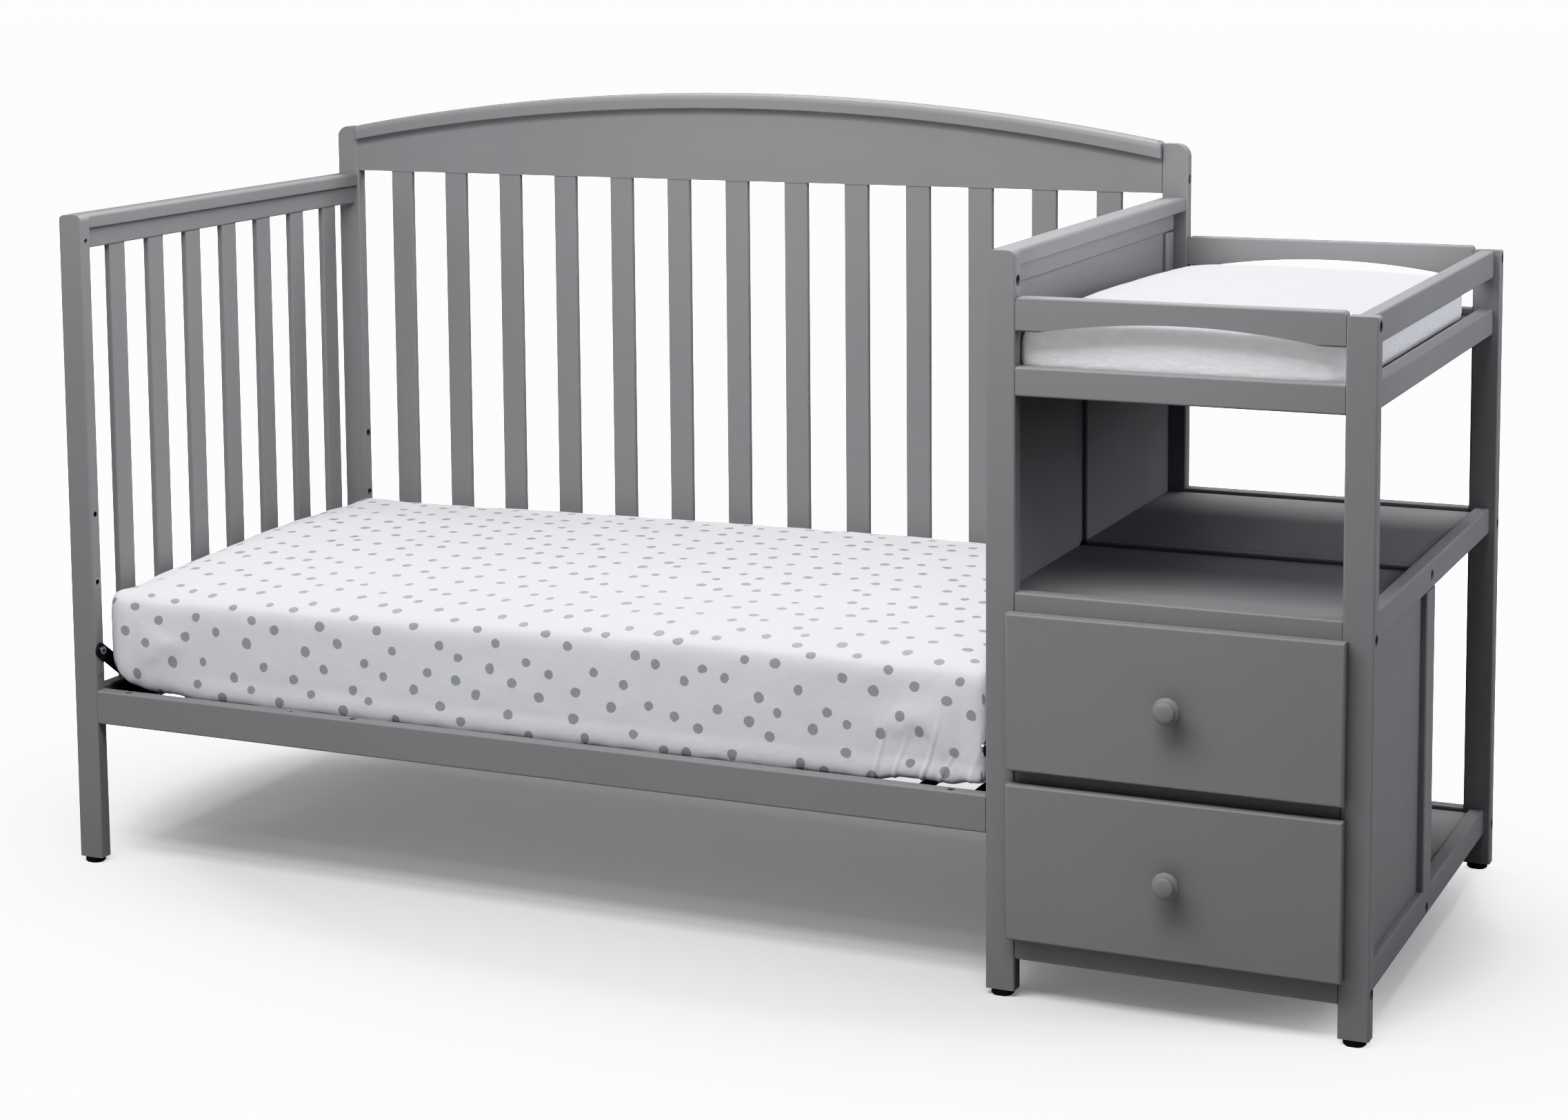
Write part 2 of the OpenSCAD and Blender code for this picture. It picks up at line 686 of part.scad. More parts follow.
module side_panel() color(paint) bench()
  sheet(side_panel_x, post_d, base_rail_z + apron_h, side_panel_t,
    side_stile_y - post_d, shelf_rail_z + 1 - base_rail_z - apron_h);

module side_stile() color(paint) bench()
  run_z(side_rail_x, side_stile_y, base_rail_z + apron_h, shelf_rail_z + 1 - base_rail_z - apron_h)
    polygon(eased(rail_t, side_stile_w));

module carcass_back_panel() color(paint) bench()
  sheet(rear_face_x, rear_split_y + 1, base_top_z, side_rail_x - rear_face_x, panel_t,
    rear_shelf_z + board_t - apron_h - base_top_z);

// Strips under a board's left and right edges
module strips(x, z, y0, y1)
  for (strip_x = [x, side_rail_x - cleat]) sheet(strip_x, y0, z - cleat, cleat, y1 - y0, cleat);

// Strips under each board, and the blocks that carry the slides
module support_cleats() color(raw_wood) bench() {
  strips(upper_face_x, board_z, post_d, back_y);
  strips(lower_face_x, front_shelf_z, post_d, mid_y - rail_t / 2);
  strips(rear_face_x, rear_shelf_z, mid_y + rail_t / 2, back_y);
  strips(lower_face_x, base_board_z, post_d, mid_y - rail_t / 2);
  strips(lower_face_x, base_board_z, mid_y + rail_t / 2, back_y);
  for (z = [upper_slide_z, lower_slide_z]) {
    sheet(lower_face_x, post_d, z - 7, opening_x - lower_face_x, side_stile_y - post_d, slide_h + 14);
    sheet(right_post_x, post_d, z - 7, side_panel_x - right_post_x, side_stile_y - post_d, slide_h + 14);
  }
}

// ---- Drawers ----

slide_wall = 1.2;
channel_w = 9.5;
slide_y = 4;
channel_len = side_stile_y - 6;

// C-shaped channel; its lips hold the head of the drawer's rail
module channel_profile() polygon([
  [0, 0], [channel_w, 0], [channel_w, 3.5], [channel_w - slide_wall, 3.5],
  [channel_w - slide_wall, slide_wall], [slide_wall, slide_wall],
  [slide_wall, slide_h - slide_wall], [channel_w - slide_wall, slide_h - slide_wall],
  [channel_w - slide_wall, slide_h - 3.5], [channel_w, slide_h - 3.5], [channel_w, slide_h], [0, slide_h]
]);

// T-shaped rail that runs in the channel, with a web on the drawer's side
module runner_profile() {
  head_x = 2;
  play = 0.5;
  mid = slide_h / 2;
  polygon([
    [head_x, slide_wall + play], [head_x + slide_wall, slide_wall + play],
    [head_x + slide_wall, mid - 0.6], [slide_gap - slide_wall, mid - 0.6],
    [slide_gap - slide_wall, 4], [slide_gap, 4], [slide_gap, slide_h - 4],
    [slide_gap - slide_wall, slide_h - 4], [slide_gap - slide_wall, mid + 0.6],
    [head_x + slide_wall, mid + 0.6], [head_x + slide_wall, slide_h - slide_wall - play],
    [head_x, slide_h - slide_wall - play]
  ]);
}

module slide_pair(z) {
  translate([opening_x, slide_y, z]) children();
  translate([right_post_x, slide_y, z]) mirror([1, 0, 0]) children();
}

module slide_channels() color(steel) bench()
  for (z = [upper_slide_z, lower_slide_z]) slide_pair(z) run_y(0, 0, 0, channel_len) channel_profile();

knob_x = opening_x + changer_len / 2;
screw_d = 4;

module drawer_front(z) difference() {
  intersection() {
    run_x(front_x, -front_t - front_gap, z, front_w) polygon(cornered(front_t, front_h, [3, 0.5, 0.5, 3]));
    run_z(front_x, -front_t - front_gap, z, front_h) polygon(cornered(front_w, front_t, [3, 3, 0.5, 0.5]));
  }
  translate([knob_x, 1, z + front_h / 2]) rotate([90, 0, 0])
    cylinder(d = screw_d + 0.4, h = front_t + 4, $fn = 24);
}

// Two sides with a groove for the bottom, and a back that stands above it
module drawer_box(slide_z) {
  z = slide_z - box_below_slide;
  y = -front_gap;
  difference() {
    for (x = [box_x, box_x + box_w - box_t])
      run_y(x, y, z, box_d) polygon(eased(box_t, box_h, 2));
    sheet(box_x + box_t - groove, y - 1, z + bottom_rise,
      box_w - 2 * box_t + 2 * groove, box_d + 2, bottom_t);
  }
  sheet(box_x + box_t, y + box_d - box_t, z + bottom_rise + bottom_t,
    box_w - 2 * box_t, box_t, box_h - bottom_rise - bottom_t - 4);
}

module drawer_bottom(slide_z)
  sheet(box_x + box_t - groove, -front_gap, slide_z - box_below_slide + bottom_rise,
    box_w - 2 * box_t + 2 * groove, box_d, bottom_t);

// Turned knob: waisted foot, wide round rim, a ring groove and a domed face
module knob(z) difference() {
  translate([knob_x, -front_t - front_gap, z]) rotate([90, 0, 0]) rotate_extrude($fn = 64)
    polygon(concat(
      [[0, 0], [10, 0]],
      arc(14, 6, 5.4, 240, 150, 4),
      arc(12, 15.5, 5, -50, 75, 6),
      [[12.2, 20.9]],
      arc(10.6, 24.6, 2.4, -20, 60, 4),
      [for (a = [75:-15:0]) [12.2 * sin(a), 26.1 + 2.9 * cos(a)]]
    ));
  translate([knob_x, -front_t, z]) rotate([90, 0, 0]) cylinder(d = screw_d, h = 14, $fn = 24);
}

// Rails on the drawer's sides and the screw that holds the knob
module drawer_hardware(slide_z, knob_z) {
  slide_pair(slide_z) run_y(0, 0, 0, box_d - slide_y - 4) runner_profile();
  translate([knob_x, 2 - front_gap, knob_z]) rotate([90, 0, 0]) {
    cylinder(d = 8, h = 2, $fn = 32);
    cylinder(d = screw_d, h = front_t + 12, $fn = 24);
  }
}

module slid() bench() translate([0, -drawer_open, 0]) children();

module upper_drawer_front() color(paint) slid() drawer_front(upper_front_z);
module upper_drawer_box() color(raw_wood) slid() drawer_box(upper_slide_z);
module upper_drawer_bottom() color(hardboard) slid() drawer_bottom(upper_slide_z);
module upper_drawer_knob() color(paint) slid() knob(upper_front_z + front_h / 2);
module upper_drawer_hardware() color(steel) slid()
  drawer_hardware(upper_slide_z, upper_front_z + front_h / 2);
module lower_drawer_front() color(paint) slid() drawer_front(lower_front_z);
module lower_drawer_box() color(raw_wood) slid() drawer_box(lower_slide_z);
module lower_drawer_bottom() color(hardboard) slid() drawer_bottom(lower_slide_z);
module lower_drawer_knob() color(paint) slid() knob(lower_front_z + front_h / 2);
module lower_drawer_hardware() color(steel) slid()
  drawer_hardware(lower_slide_z, lower_front_z + front_h / 2);

// ---- Loose hardware ----

// Frame bolts with their barrel nuts, the posts' threaded inserts and the straps' bolts
module frame_bolts() color(steel) bench() {
  for (b = crib_bolts)
    if (b[1] < mid_y) bolt_set(b, nut_mouth = 1, rise = low_rail_h / 2 - 1.5);
    else bolt_set(b);
  for (b = changer_bolts) bolt_set(b);
  for (b = cross_bolts) bolt_set(b, rail_t);
  for (face = crib_faces, y = [bolt_front_y, bolt_back_y], z = insert_levels)
    translate([face[0], y, z]) rotate([0, 90 * face[1], 0]) threaded_insert();
  at_hangers() {
    translate([strap_t + bolt_head_h, 0, 0]) rotate([0, -90, 0]) bolt(strap_t + 10);
    translate([strap_t + deck_wall + bolt_head_h, strap_foot[0], strap_foot[1]]) rotate([0, -90, 0])
      bolt(strap_t + deck_wall);
  }
}

// Plastic glide: a low disc with a bevelled rim
module glide() rotate_extrude($fn = 48)
  polygon([[0, 0], [12, 0], [14, 2], [14, glide_h - 1], [13, glide_h], [0, glide_h]]);

module floor_glides() color(black_plastic) translate([-total_l / 2, -floor_y, 0])
  for (x = [0, partition_x, right_post_x], y = [0, back_y])
    translate([x + post_w / 2, y + post_d / 2, 0]) intersection() {
      glide();
      sheet(-post_w, -post_d / 2, 0, 2 * post_w, post_d, glide_h);
    }

left_front_post();
left_back_post();
left_cap_rail();
left_top_rail();
left_slats();
left_bottom_rail();
right_back_post();
back_arch_cap();
back_top_rail();
back_slats();
back_bottom_rail();
front_low_rail();
support_deck();
hanger_straps();
mattress();
partition_front_post();
partition_cap_rail();
partition_top_rail();
partition_upper_panel();
partition_stile();
partition_mid_rail();
partition_lower_panel();
partition_rear_board();
changer_front_post();
changer_back_post();
front_guard();
back_guard();
side_guard();
front_apron();
back_apron();
side_apron();
changing_board();
changing_pad();
shelf_front_rail();
shelf_side_rail();
shelf_back_rail();
cross_rails();
shelf_boards();
drawer_divider_rail();
base_front_rail();
base_side_rail();
base_back_rail();
base_board();
side_panel();
side_stile();
carcass_back_panel();
support_cleats();
slide_channels();
upper_drawer_front();
upper_drawer_box();
upper_drawer_bottom();
upper_drawer_knob();
upper_drawer_hardware();
lower_drawer_front();
lower_drawer_box();
lower_drawer_bottom();
lower_drawer_knob();
lower_drawer_hardware();
frame_bolts();
floor_glides();
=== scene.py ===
import json
import math

import bmesh
import bpy
import numpy as np
from mathutils import Matrix, Vector


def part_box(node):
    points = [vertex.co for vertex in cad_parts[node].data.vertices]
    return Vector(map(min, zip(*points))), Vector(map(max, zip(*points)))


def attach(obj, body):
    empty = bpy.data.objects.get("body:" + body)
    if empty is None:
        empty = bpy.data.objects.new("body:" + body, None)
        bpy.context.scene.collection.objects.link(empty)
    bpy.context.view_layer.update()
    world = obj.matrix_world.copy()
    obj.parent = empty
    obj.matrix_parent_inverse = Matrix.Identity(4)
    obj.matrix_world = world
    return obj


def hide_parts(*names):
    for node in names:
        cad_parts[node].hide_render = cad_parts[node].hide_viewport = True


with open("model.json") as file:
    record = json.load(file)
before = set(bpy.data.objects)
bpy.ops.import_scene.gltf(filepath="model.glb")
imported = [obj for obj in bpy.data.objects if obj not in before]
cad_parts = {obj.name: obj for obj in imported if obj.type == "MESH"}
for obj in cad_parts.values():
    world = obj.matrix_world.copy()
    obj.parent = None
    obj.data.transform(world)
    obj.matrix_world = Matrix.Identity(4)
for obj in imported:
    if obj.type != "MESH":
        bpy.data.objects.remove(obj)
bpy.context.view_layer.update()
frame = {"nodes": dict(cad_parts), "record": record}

SCENE = bpy.context.scene
NODES = frame["nodes"]
SLOT_OF = {s["node"]: s["material_slot"] for s in frame["record"]["subparts"]}

MM = 0.001


# ---------------------------------------------------------------- camera, floor and light

CAMERA_PLACE = (1.69216, -3.82954, 1.33084)
CAMERA_YAW = 0.443532
CAMERA_PITCH = -0.109333
CAMERA_ROLL = -0.039025
LENS_MM = 70.3366
SENSOR_MM = 36.0
SHIFT = (0.061431, -0.183641)

FLOOR_SIZE = 60.0
# How much light the floor returns to the crib, and to the camera
FLOOR_TONE = (0.45, 0.72)
# The floor brightens away from the crib: from and to which distance, from and to which
# strength, with distances along the crib counted for less
FLOOR_GLOW = {"From Min": 0.5, "From Max": 1.1, "To Min": 0.17, "To Max": 3.0}
GLOW_STRETCH = (0.6, 1, 1)
# Strength of the world as a light, and as the camera sees it
SKY_LIGHT = 0.22
BACKDROP = 4.0

COOL = (1.0, 0.995, 1.01)
# Name: place, aim, width, height, watts, colour, and spread in degrees where it is narrowed
LIGHTS = {
    "front_softbox": ((0.0, -1.35, 2.3), (0.0, 0.1, 0.6), 2.4, 0.8, 51.0, COOL),
    "back_softbox": ((0.0, 1.2, 2.7), (0.0, 0.2, 0.4), 2.4, 1.0, 58.0, COOL),
    "top_softbox": ((-0.1, -0.4, 2.9), (0.0, -0.1, 0.3), 2.2, 1.6, 5.0, COOL),
    "left_fill": ((-2.6, -2.4, 2.3), (0.0, 0.0, 0.6), 1.6, 1.6, 18.0, (0.90, 0.97, 1.05)),
    "right_fill": ((2.1, 0.2, 1.4), (0.92, 0.1, 1.2), 1.3, 1.1, 9.0, (0.95, 0.97, 1.05), 118),
}
# A low fill that reaches the changing pad alone
PAD_FILL = ((0.9, -3.2, 0.8), (0.7, -0.2, 0.8), 1.6, 1.0, 25.0, (1.0, 1.0, 1.0))


def make_camera():
    """The photo's camera, fitted to the crib's edges, with its shift."""
    data = bpy.data.cameras.new("camera")
    data.lens = LENS_MM
    data.sensor_width = SENSOR_MM
    data.shift_x, data.shift_y = SHIFT
    data.clip_end = 200.0
    camera = bpy.data.objects.new("camera", data)
    SCENE.collection.objects.link(camera)
    yaw = Matrix.Rotation(CAMERA_YAW, 3, "Z")
    pitch = Matrix.Rotation(CAMERA_PITCH, 3, "X")
    roll = Matrix.Rotation(CAMERA_ROLL, 3, "Y")
    turn = roll @ pitch @ yaw
    right = turn @ Vector((1, 0, 0))
    forward = turn @ Vector((0, 1, 0))
    up = turn @ Vector((0, 0, 1))
    camera.matrix_world = Matrix.Translation(CAMERA_PLACE) @ Matrix(
        (right, up, -forward)).transposed().to_4x4()
    SCENE.camera = camera


def make_floor():
    """Wide pale floor, lighter to the camera than to the crib, so shadows stay deep."""
    mesh = bpy.data.meshes.new("floor")
    half = FLOOR_SIZE / 2
    corners = [(-half, -half, 0), (half, -half, 0), (half, half, 0), (-half, half, 0)]
    mesh.from_pydata(corners, [], [(0, 1, 2, 3)])
    floor = bpy.data.objects.new("floor", mesh)
    SCENE.collection.objects.link(floor)
    mat, tree, shader = new_material("floor_white")
    seen = tree.nodes.new("ShaderNodeLightPath").outputs["Is Camera Ray"]
    tint(tree, shader, seen, [(tone, tone, tone) for tone in FLOOR_TONE])
    set_sockets(shader, {"Roughness": 0.9, "Specular IOR Level": 0.1,
                         "Emission Color": (1, 1, 1, 1)})
    reach = tree.nodes.new("ShaderNodeVectorMath")
    reach.operation = "LENGTH"
    tree.links.new(place_of(tree, GLOW_STRETCH), reach.inputs[0])
    glow = tree.nodes.new("ShaderNodeMapRange")
    glow.interpolation_type = "SMOOTHSTEP"
    set_sockets(glow, FLOOR_GLOW)
    tree.links.new(reach.outputs["Value"], glow.inputs["Value"])
    strength = math_node(tree, "MULTIPLY", glow.outputs["Result"], seen)
    tree.links.new(strength, shader.inputs["Emission Strength"])
    mesh.materials.append(mat)


def make_world():
    """Plain world: faint as a light, white where the camera looks past the floor."""
    world = bpy.data.worlds.new("studio")
    SCENE.world = world
    world.use_nodes = True
    tree = world.node_tree
    tree.nodes.clear()
    out = tree.nodes.new("ShaderNodeOutputWorld")
    mix = tree.nodes.new("ShaderNodeMixShader")
    path = tree.nodes.new("ShaderNodeLightPath")
    tree.links.new(path.outputs["Is Camera Ray"], mix.inputs["Fac"])
    for socket, strength in ((mix.inputs[1], SKY_LIGHT), (mix.inputs[2], BACKDROP)):
        background = tree.nodes.new("ShaderNodeBackground")
        set_sockets(background, {"Color": (1, 1, 1, 1), "Strength": strength})
        tree.links.new(background.outputs[0], socket)
    tree.links.new(mix.outputs[0], out.inputs["Surface"])


def light_only(lamp, pieces):
    """Lets a lamp reach the given pieces alone."""
    reached = bpy.data.collections.new(lamp.name + "_reach")
    for piece in pieces:
        reached.objects.link(piece)
    lamp.light_linking.receiver_collection = reached


def make_lamp(name, place, aim, width, height, watts, colour, spread=180):
    """Rectangular softbox at a place, turned to its aim."""
    data = bpy.data.lights.new(name, "AREA")
    data.shape = "RECTANGLE"
    data.size, data.size_y = width, height
    data.energy = watts
    data.color = colour
    data.spread = math.radians(spread)
    lamp = bpy.data.objects.new(name, data)
    SCENE.collection.objects.link(lamp)
    lamp.location = place
    lamp.rotation_euler = (Vector(aim) - Vector(place)).to_track_quat("-Z", "Y").to_euler()
    return lamp


# ---------------------------------------------------------------- material building blocks

# A mix node's sockets for colours: factor, first and second, and the result
COLOUR_MIX_INPUTS = (0, 6, 7)
COLOUR_MIX_OUTPUT = 2


def new_material(name):
    """A new material with its node tree and its shader."""
    mat = bpy.data.materials.new(name)
    mat.use_nodes = True
    tree = mat.node_tree
    return mat, tree, tree.nodes["Principled BSDF"]


def set_sockets(node, values):
    """Sets constants on a node's own sockets."""
    for socket, value in values.items():
        node.inputs[socket].default_value = value


def place_of(tree, stretch=(1, 1, 1), attribute=None):
    """Texture coordinates in metres, of the object or of an attribute, scaled per axis."""
    if attribute:
        source = tree.nodes.new("ShaderNodeAttribute")
        source.attribute_name = attribute
        vector = source.outputs["Vector"]
    else:
        source = tree.nodes.new("ShaderNodeTexCoord")
        vector = source.outputs["Object"]
    mapping = tree.nodes.new("ShaderNodeMapping")
    mapping.inputs["Scale"].default_value = stretch
    tree.links.new(vector, mapping.inputs["Vector"])
    return mapping.outputs["Vector"]


def noise(tree, vector, scale, detail=3.0, rough=0.5, output="Fac"):
    """Cloudy noise, mostly between 0.3 and 0.7."""
    node = tree.nodes.new("ShaderNodeTexNoise")
    set_sockets(node, {"Scale": scale, "Detail": detail, "Roughness": rough})
    tree.links.new(vector, node.inputs["Vector"])
    return node.outputs[output]


def remap(tree, value, low, high, from_low=0.3, from_high=0.7):
    """Spreads a value, by default a noise, over low to high and clamps it there."""
    node = tree.nodes.new("ShaderNodeMapRange")
    set_sockets(node, {"From Min": from_low, "From Max": from_high, "To Min": low, "To Max": high})
    tree.links.new(value, node.inputs["Value"])
    return node.outputs["Result"]


def feed(tree, socket, value):
    """Sets a number or a colour on a socket, or links another node's output to it."""
    if isinstance(value, (int, float)):
        socket.default_value = value
    elif isinstance(value, tuple):
        socket.default_value = (*value, 1)
    else:
        tree.links.new(value, socket)


def math_node(tree, operation, *values):
    """A math node fed by numbers or by other nodes' outputs."""
    node = tree.nodes.new("ShaderNodeMath")
    node.operation = operation
    for socket, value in zip(node.inputs, values):
        feed(tree, socket, value)
    return node.outputs[0]


def weigh(tree, first, second, share):
    """Weighted mean of two values, with the first one's share."""
    return math_node(tree, "ADD", math_node(tree, "MULTIPLY", first, share),
                     math_node(tree, "MULTIPLY", second, 1 - share))


def blend_colours(tree, factor, first, second, mode="MIX"):
    """From the first colour at 0 to its blend with the second at 1."""
    node = tree.nodes.new("ShaderNodeMix")
    node.data_type = "RGBA"
    node.blend_type = mode
    for index, value in zip(COLOUR_MIX_INPUTS, (factor, first, second)):
        feed(tree, node.inputs[index], value)
    return node.outputs[COLOUR_MIX_OUTPUT]


def tint(tree, shader, tone, colours):
    """Base colour from the first to the second colour as the tone goes from 0 to 1."""
    tree.links.new(blend_colours(tree, tone, *colours), shader.inputs["Base Color"])


def gloss(tree, shader, value, smooth, rough):
    """Uneven gloss: roughness spread over the value's clouds."""
    tree.links.new(remap(tree, value, smooth, rough), shader.inputs["Roughness"])


def bump(tree, shader, height, strength, distance, below=None):
    """Adds relief to a shader, on top of the relief below; returns the normal."""
    node = tree.nodes.new("ShaderNodeBump")
    set_sockets(node, {"Strength": strength, "Distance": distance})
    tree.links.new(height, node.inputs["Height"])
    if below:
        tree.links.new(below, node.inputs["Normal"])
    tree.links.new(node.outputs["Normal"], shader.inputs["Normal"])
    return node.outputs["Normal"]


# ---------------------------------------------------------------- materials

# Darkest and lightest colour of each material
PAINT = ((0.246, 0.246, 0.249), (0.262, 0.262, 0.265))
SOFTWOOD = ((0.60, 0.42, 0.24), (0.74, 0.57, 0.37))
FIBREBOARD = ((0.27, 0.16, 0.08), (0.45, 0.30, 0.17))
ZINC = ((0.27, 0.275, 0.285), (0.40, 0.405, 0.41))
POWDER_COAT = ((0.010, 0.010, 0.011), (0.026, 0.027, 0.029))
PLASTIC = ((0.008, 0.008, 0.009), (0.022, 0.022, 0.023))
WHITE_VELOUR = ((0.69, 0.69, 0.705), (0.79, 0.79, 0.80))
TICKING = ((0.70, 0.70, 0.71), (0.78, 0.78, 0.79))
END_GRAIN = ((0.20, 0.13, 0.11), (0.30, 0.21, 0.18))
# The sheet's ground, and its dots
SHEET = ((0.735, 0.735, 0.752), (0.345, 0.355, 0.370))

# Mean distance between dots and a dot's radius, in metres, and how far dots stray from a grid
DOT_PITCH = 0.0438
DOT_RADIUS = 0.0068
DOT_SPREAD = 0.44
# Smallest and largest dot, against the radius, and how far a dot's edge wobbles, in metres
DOT_SIZES = (0.88, 1.14)
DOT_WOBBLE = 0.0042
# Half the width of a dot's soft edge, against the pitch
DOT_SOFT = 0.008


def grey_paint():
    """Sprayed satin grey over wood: faint orange peel, a trace of grain, uneven gloss."""
    mat, tree, shader = new_material("grey_paint")
    place = place_of(tree)
    tone = weigh(tree, noise(tree, place, 2.5, 4.0), noise(tree, place, 700.0, 1.0), 0.7)
    tint(tree, shader, remap(tree, tone, 0, 1, 0.35, 0.65), PAINT)
    gloss(tree, shader, noise(tree, place, 6.0, 2.0), 0.52, 0.57)
    set_sockets(shader, {"Specular IOR Level": 0.38})
    peel = bump(tree, shader, noise(tree, place, 260.0, 2.0), 0.12, 0.0004)
    grain = noise(tree, place_of(tree, (1, 1, 0.12)), 160.0, 3.0)
    bump(tree, shader, grain, 0.05, 0.0004, peel)
    return mat


def raw_wood():
    """Bare softwood: growth bands along the piece, fine pores."""
    mat, tree, shader = new_material("raw_wood")
    bands = tree.nodes.new("ShaderNodeTexWave")
    bands.bands_direction = "Z"
    set_sockets(bands, {"Scale": 3.0, "Distortion": 4.0, "Detail": 3.0})
    tree.links.new(place_of(tree, (9, 0.8, 9)), bands.inputs["Vector"])
    pores = noise(tree, place_of(tree, (60, 3, 60)), 9.0, 4.0)
    tint(tree, shader, weigh(tree, bands.outputs["Fac"], pores, 0.6), SOFTWOOD)
    set_sockets(shader, {"Roughness": 0.62})
    bump(tree, shader, pores, 0.25, 0.0004)
    return mat


def hardboard():
    """Pressed fibre sheet."""
    mat, tree, shader = new_material("hardboard")
    place = place_of(tree)
    fibres = noise(tree, place, 420.0, 5.0, 0.7)
    tone = weigh(tree, fibres, noise(tree, place, 18.0, 3.0), 0.6)
    tint(tree, shader, remap(tree, tone, 0, 1), FIBREBOARD)
    set_sockets(shader, {"Roughness": 0.7})
    bump(tree, shader, fibres, 0.3, 0.0003)
    return mat


def zinc_steel():
    """Zinc plate with fine brushing and cloudy gloss."""
    mat, tree, shader = new_material("zinc_steel")
    brushed = noise(tree, place_of(tree, (1, 0.08, 1)), 1500.0, 2.0)
    tint(tree, shader, remap(tree, noise(tree, place_of(tree), 90.0, 4.0), 0, 1), ZINC)
    gloss(tree, shader, brushed, 0.28, 0.42)
    set_sockets(shader, {"Metallic": 1.0})
    bump(tree, shader, brushed, 0.15, 0.0001)
    return mat


def black_steel():
    """Black powder coat: a fine pebbled skin, a little worn."""
    mat, tree, shader = new_material("black_steel")
    place = place_of(tree)
    rubbed = noise(tree, place, 35.0, 4.0)
    tint(tree, shader, remap(tree, rubbed, 0, 1), POWDER_COAT)
    gloss(tree, shader, rubbed, 0.38, 0.55)
    bump(tree, shader, noise(tree, place, 1100.0, 2.0), 0.35, 0.0002)
    return mat


def black_plastic():
    """Moulded black polyethylene with scuffs."""
    mat, tree, shader = new_material("black_plastic")
    scuffs = noise(tree, place_of(tree, (1, 1, 3)), 240.0, 4.0, 0.65)
    tint(tree, shader, remap(tree, scuffs, 0, 1), PLASTIC)
    gloss(tree, shader, scuffs, 0.42, 0.60)
    bump(tree, shader, scuffs, 0.2, 0.0002)
    return mat


def weave(tree, place, pitch):
    """Height of crossed threads, each pitch metres wide."""
    turn = 2 * math.pi / pitch
    split = tree.nodes.new("ShaderNodeSeparateXYZ")
    tree.links.new(place, split.inputs[0])
    across, down = (math_node(tree, "SINE", math_node(tree, "MULTIPLY", split.outputs[i], turn))
                    for i in (0, 1))
    return math_node(tree, "MULTIPLY", across, down)


def wobbled(tree, place):
    """The sheet's coordinates, bent a little so that dots come out hand-drawn."""
    centred = tree.nodes.new("ShaderNodeVectorMath")
    centred.operation = "SUBTRACT"
    centred.inputs[1].default_value = (0.5, 0.5, 0.5)
    tree.links.new(noise(tree, place, 55.0, 1.0, output="Color"), centred.inputs[0])
    bent = tree.nodes.new("ShaderNodeVectorMath")
    bent.operation = "MULTIPLY_ADD"
    bent.inputs[1].default_value = (DOT_WOBBLE, DOT_WOBBLE, 0)
    tree.links.new(centred.outputs[0], bent.inputs[0])
    tree.links.new(place, bent.inputs[2])
    return bent.outputs[0]


def dot_ink(tree, place):
    """1 inside a dot and 0 outside: one dot of its own size in each cell."""
    cells = tree.nodes.new("ShaderNodeTexVoronoi")
    cells.voronoi_dimensions = "2D"
    cells.feature = "F1"
    set_sockets(cells, {"Scale": 1 / DOT_PITCH, "Randomness": DOT_SPREAD})
    tree.links.new(wobbled(tree, place), cells.inputs["Vector"])
    size = math_node(tree, "MULTIPLY", remap(tree, cells.outputs["Color"], *DOT_SIZES, 0, 1),
                     DOT_RADIUS / DOT_PITCH)
    edge = math_node(tree, "SUBTRACT", size, cells.outputs["Distance"])
    return remap(tree, edge, 0, 1, -DOT_SOFT, DOT_SOFT)


def dotted_sheet():
    """White cotton with grey dots, a fine weave and soft wrinkles."""
    mat, tree, shader = new_material("dotted_sheet")
    place, threaded, wrinkled = (place_of(tree, stretch, "cloth_place")
                                 for stretch in ((1, 1, 1), (1, 14, 1), (1, 0.55, 1)))
    printed = blend_colours(tree, dot_ink(tree, place), *SHEET)
    shaded = blend_colours(tree, 0.06, printed, noise(tree, threaded, 120.0, 3.0), "MULTIPLY")
    tree.links.new(shaded, shader.inputs["Base Color"])
    set_sockets(shader, {"Roughness": 0.85, "Specular IOR Level": 0.25,
                         "Sheen Weight": 0.12, "Sheen Roughness": 0.5})
    first = bump(tree, shader, weave(tree, place, 0.0007), 0.2, 0.0002)
    second = bump(tree, shader, noise(tree, place, 26.0, 4.0), 0.35, 0.0035, first)
    bump(tree, shader, noise(tree, wrinkled, 8.0, 5.0, 0.55), 0.30, 0.0100, second)
    return mat


def velour():
    """White velour: a short brushed pile with soft shaded patches."""
    mat, tree, shader = new_material("velour")
    pile = noise(tree, place_of(tree), 900.0, 3.0, 0.7)
    lay = noise(tree, place_of(tree, (1, 1, 2)), 60.0, 4.0, 0.6)
    tint(tree, shader, remap(tree, weigh(tree, pile, lay, 0.55), 0, 1), WHITE_VELOUR)
    set_sockets(shader, {"Roughness": 0.95, "Specular IOR Level": 0.1,
                         "Sheen Weight": 0.35, "Sheen Roughness": 0.4})
    first = bump(tree, shader, pile, 0.6, 0.0010)
    bump(tree, shader, lay, 0.45, 0.0040, first)
    return mat


def mattress_ticking():
    """White coated cover under the sheet, with a fine pressed grid."""
    mat, tree, shader = new_material("mattress_ticking")
    place = place_of(tree)
    tint(tree, shader, remap(tree, noise(tree, place, 7.0, 4.0), 0, 1), TICKING)
    set_sockets(shader, {"Roughness": 0.5})
    bump(tree, shader, weave(tree, place, 0.004), 0.3, 0.0005)
    return mat


